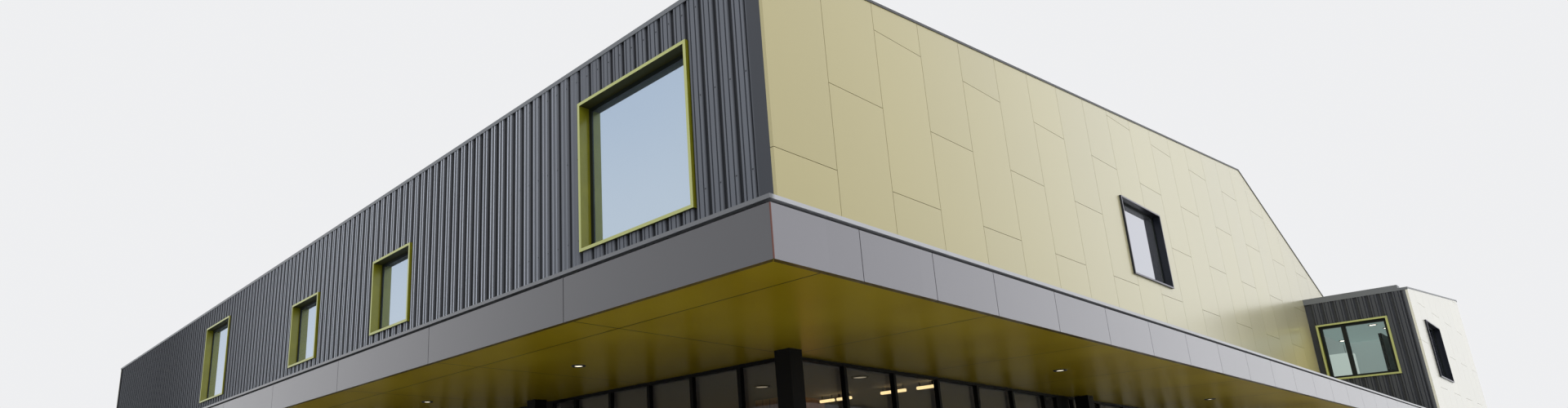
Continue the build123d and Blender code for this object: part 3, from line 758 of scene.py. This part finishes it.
def soft_block(low, high, edge):
    """A closed block with rounded edges.

    Each point of a grid over the six faces is drawn in to the nearest point of a block one edge
    radius smaller, then set one radius out from there. Points that meet become one.
    """
    low, high = np.asarray(low, float), np.asarray(high, float)
    steps = np.array([low, low + edge, high - edge, high])
    i, j = (grid.ravel() for grid in np.meshgrid(np.arange(4), np.arange(4), indexing="ij"))
    r, c = (grid.ravel() for grid in np.meshgrid(np.arange(3), np.arange(3), indexing="ij"))
    quad = np.stack([r * 4 + c, (r + 1) * 4 + c, (r + 1) * 4 + c + 1, r * 4 + c + 1], -1)
    blocks = []
    for axis in range(3):
        u, v = (axis + 1) % 3, (axis + 2) % 3
        for face_at, order in ((low[axis], quad[:, ::-1]), (high[axis], quad)):
            grid = np.empty((16, 3))
            grid[:, axis], grid[:, u], grid[:, v] = face_at, steps[i, u], steps[j, v]
            core = np.clip(grid, low + edge, high - edge)
            out = grid - core
            out /= np.linalg.norm(out, axis=1, keepdims=True)
            blocks.append((core + edge * out, order))
    points, faces = gather(blocks)
    points, shared = np.unique(points.round(6), axis=0, return_inverse=True)
    return points, shared.ravel()[faces]


def rib_middles(end, start):
    """Middles of the ribs, set out from the end half a pitch in, as on the solid sheets."""
    count = int((end - start) // RIB_PITCH)
    return end - (np.arange(count) + 0.5) * RIB_PITCH


BEAD = np.array([[-0.010, -0.001], [-0.005, 0.005], [0.005, 0.005], [0.010, -0.001]])
BEAD_OFFSETS = (-0.044, 0.044)
BEAD_MARGIN = 0.01
FIXING_OFFSET = 0.072
FIXING_MARGIN = 0.02
FIRST_FIXING_ROW = 4.20
FIXING_ROW_PITCH = 1.27
front_ribs = rib_middles(-CORNER_TRIM, -FRONT + CORNER_TRIM)
back_ribs = -rib_middles(FRONT - CORNER_TRIM, CORNER_TRIM - WING_X)
wing_ribs = rib_middles(WING_X - WING_TRIM, 0.0)
sheets = (
    ("front", front_ribs, 0.0, -1, DECK, EAVES, FRONT_WINDOWS),
    ("wing", wing_ribs, WING_Y, -1, DECK, WING_EAVES, (WING_WINDOW,)),
    ("back", back_ribs, DEPTH, 1, DECK, BACK_TOP, FRONT_WINDOWS),
)
fixing_parts = []
for sheet, ribs, face_y, facing, foot, head, windows in sheets:
    lines = np.concatenate([ribs + offset for offset in BEAD_OFFSETS])
    runs = clear_runs(lines, foot, head, windows, BEAD_MARGIN)
    beads = upright_beads(runs, face_y, facing, BEAD)
    mesh_piece(f"{sheet}_cladding_beads", beads, bead_dark)
    rows = np.arange(FIRST_FIXING_ROW, head, FIXING_ROW_PITCH)
    x, z = (grid.ravel() for grid in np.meshgrid(ribs + FIXING_OFFSET, rows))
    open_wall = np.ones(len(x), bool)
    for middle, sill, width, height in windows:
        beside = np.abs(x - middle) > width / 2 + FIXING_MARGIN
        open_wall &= beside | (z < sill - FIXING_MARGIN) | (z > sill + height + FIXING_MARGIN)
    places = np.column_stack([x, np.full_like(x, face_y), z])[open_wall]
    fixing_parts.append(screw_heads(places, facing))
mesh_piece("cladding_fixings", gather(fixing_parts), fixing_dark)

# Copper-toned sealant in the canopy's mitred corner joint
corner_joint = soft_block((2.292, -3.0015, 3.212), (2.3015, -2.992, 3.602), 0.002)
mesh_piece("canopy_corner_joint", corner_joint, sealant)

# Round lamps in the ceilings of the rooms and in the canopy
LENS = [(0.0, -0.012), (0.05, -0.013), (0.082, -0.010), (0.09, -0.003), (0.09, 0.0), (0.0, 0.0)]
RIM = [(0.088, 0.0), (0.088, -0.014), (0.094, -0.017), (0.106, -0.014), (0.11, 0.0)]
BEZEL = [(0.046, -0.0035), (0.050, -0.010), (0.070, -0.011), (0.080, -0.006), (0.081, 0.0)]
FRONT_LAMP_PITCH = 3.5
SIDE_LAMP_PITCH = 5.6
wing_lamps = [(x, y, WING_CEILING) for x, y in ((-0.20, 29.45), (1.01, 26.81), (1.19, 27.83))]
hall_lamps = [(x, y, ROOM_CEILING) for x, y in ((-1.85, 1.69), (-0.61, 2.15))]
front_lamps = [(x, CANOPY_Y / 2, SOFFIT) for x in np.arange(-1.75, -32.6, -FRONT_LAMP_PITCH)]
side_lamps = [(WING_X / 2, y, SOFFIT) for y in np.arange(3.85, 33.7, SIDE_LAMP_PITCH)]
for name, profile, places, finish, slot in (
    ("wing_downlight_lenses", LENS, wing_lamps, room_lamp, "downlight"),
    ("hall_downlight_lenses", LENS, hall_lamps, hall_lamp, "downlight"),
    ("room_downlight_rims", RIM, wing_lamps + hall_lamps, column_black, "column_steel"),
    ("canopy_downlight_bezels", BEZEL, front_lamps + side_lamps, groove_dark, "column_steel"),
):
    mesh_piece(name, turned(profile, places), finish)

# Line lights behind the ground floor glass, with their hangers
LINE_Y = 3.3
LINE_SPANS = ((-2.11, -1.86), (-1.81, -1.56), (-1.07, -0.68), (-0.51, -0.24))
line_lights = [
    soft_block((low, LINE_Y - 0.02, 3.15), (high, LINE_Y + 0.02, 3.19), 0.008)
    for low, high in LINE_SPANS
]
mesh_piece("ground_floor_line_lights", gather(line_lights), line_lamp)
hangers = [
    soft_block((x - 0.006, LINE_Y - 0.006, 3.188), (x + 0.006, LINE_Y + 0.006, ROOM_CEILING), 0.001)
    for low, high in LINE_SPANS
    for x in (low + 0.04, high - 0.04)
]
mesh_piece("ground_floor_light_hangers", gather(hangers), column_black)

# What shows of the rooms behind the glass
pier = soft_block((-2.95, 2.80, FLOOR_TOP), (-2.25, 3.60, ROOM_CEILING), 0.01)
mesh_piece("timber_lined_pier", pier, timber)
cupboard = soft_block((-0.23, 27.0, UPPER_FLOOR), (0.33, 27.5, 5.9), 0.01)
mesh_piece("wing_room_white_cupboard", cupboard, white_board)
screen = soft_block((1.12, 26.5, UPPER_FLOOR), (1.20, 29.5, 6.3), 0.01)
mesh_piece("wing_room_dark_screen", screen, inner_metal)
room_wall = [
    soft_block((-0.34, 30.3, UPPER_FLOOR), (1.90, 30.36, WING_CEILING), 0.01),
    soft_block((-1.50, 30.3, UPPER_FLOOR), (-0.36, 30.36, 7.35), 0.01),
]
mesh_piece("wing_room_wall", gather(room_wall), wing_wall_board)


# Light, floor and camera
def stage_floor():
    """A wide pale floor under the building."""
    reach, level = 400.0, -0.002
    corners = [
        (-reach, -reach, level),
        (reach, -reach, level),
        (reach, reach, level),
        (-reach, reach, level),
    ]
    mesh = bpy.data.meshes.new("stage_floor")
    mesh.from_pydata(corners, [], [[0, 1, 2, 3]])
    finish = Finish("pale_stage", Roughness=0.9)
    finish.set(Base_Color=(0.74, 0.74, 0.74))
    mesh.materials.append(finish.material)
    floor = bpy.data.objects.new("stage_floor", mesh)
    bpy.context.scene.collection.objects.link(floor)


stage_floor()


def world_light():
    """An even overcast dome; the camera, mirrors and glass see its pale background."""
    world = bpy.data.worlds.new("overcast")
    bpy.context.scene.world = world
    world.use_nodes = True
    tree = world.node_tree
    dome = tree.nodes["Background"]
    dome.inputs["Color"].default_value = (0.93, 0.96, 1.0, 1.0)
    dome.inputs["Strength"].default_value = 0.88
    backdrop = tree.nodes.new("ShaderNodeBackground")
    backdrop.inputs["Color"].default_value = (0.86, 0.865, 0.88, 1.0)
    ray = tree.nodes.new("ShaderNodeLightPath")
    seen = Flow(tree, ray.outputs["Is Camera Ray"])
    seen = seen + Flow(tree, ray.outputs["Is Glossy Ray"])
    seen = seen + Flow(tree, ray.outputs["Is Transmission Ray"])
    mix = tree.nodes.new("ShaderNodeMixShader")
    feed(tree, mix.inputs[0], seen)
    tree.links.new(dome.outputs[0], mix.inputs[1])
    tree.links.new(backdrop.outputs[0], mix.inputs[2])
    tree.links.new(mix.outputs[0], tree.nodes["World Output"].inputs["Surface"])


world_light()


def soft_sun(name, azimuth, elevation, strength, spread):
    """A broad sun: azimuth 0 shines from the front, 90 from the gold side."""
    lamp = bpy.data.lights.new(name, "SUN")
    lamp.energy = strength
    lamp.angle = math.radians(spread)
    lamp.color = (1.0, 0.985, 0.95)
    sun = bpy.data.objects.new(name, lamp)
    a, e = math.radians(azimuth), math.radians(elevation)
    towards = Vector((math.sin(a) * math.cos(e), -math.cos(a) * math.cos(e), math.sin(e)))
    sun.rotation_mode = "QUATERNION"
    sun.rotation_quaternion = towards.to_track_quat("Z", "Y")
    bpy.context.scene.collection.objects.link(sun)


soft_sun("cloud_sun", 80, 32, 1.15, 60)


def room_light(name, middle, size_x, size_y, power, colour):
    """A soft lamp under a ceiling, shining down into a room."""
    lamp = bpy.data.lights.new(name, "AREA")
    lamp.shape = "RECTANGLE"
    lamp.size, lamp.size_y = size_x, size_y
    lamp.energy = power
    lamp.color = colour
    lit = bpy.data.objects.new(name, lamp)
    lit.location = Vector(np.array(middle) + SETTING_OUT)
    bpy.context.scene.collection.objects.link(lit)


room_light("ground_floor_light", (-2.5, 3.3, 3.0), 4.0, 1.0, 25, (1.0, 0.84, 0.62))


def photograph_camera():
    """The photograph's view: a low street view up at the corner, with part of its upward shift.

    Focal length and picture centre are in pixels of the photograph's width, the eye's place is
    set out from the street corner, and the angles are the view's heading, tilt and roll.
    """
    width, focal, centre_u = 1920, 1048.9, 756.3
    yaw, pitch, roll = math.radians(49.651), math.radians(15.168), math.radians(1.490)
    eye = np.array([5.710, -7.237, 1.628]) + SETTING_OUT
    ahead = np.array(
        [-math.sin(yaw) * math.cos(pitch), math.cos(yaw) * math.cos(pitch), math.sin(pitch)]
    )
    level = np.array([math.cos(yaw), math.sin(yaw), 0.0])
    down = -np.cross(level, ahead)
    right = math.cos(roll) * level + math.sin(roll) * down
    below = -math.sin(roll) * level + math.cos(roll) * down
    data = bpy.data.cameras.new("street_camera")
    data.sensor_width = 36.0
    data.lens = data.sensor_width * focal / width
    data.shift_x = (width / 2 - centre_u) / width
    data.shift_y = 0.05
    data.clip_end = 1000.0
    camera = bpy.data.objects.new("street_camera", data)
    turn = Matrix((right, -below, -ahead)).transposed().to_4x4()
    turn.translation = Vector(eye)
    camera.matrix_world = turn
    bpy.context.scene.collection.objects.link(camera)
    bpy.context.scene.camera = camera


photograph_camera()
bpy.context.scene.view_settings.view_transform = "Standard"
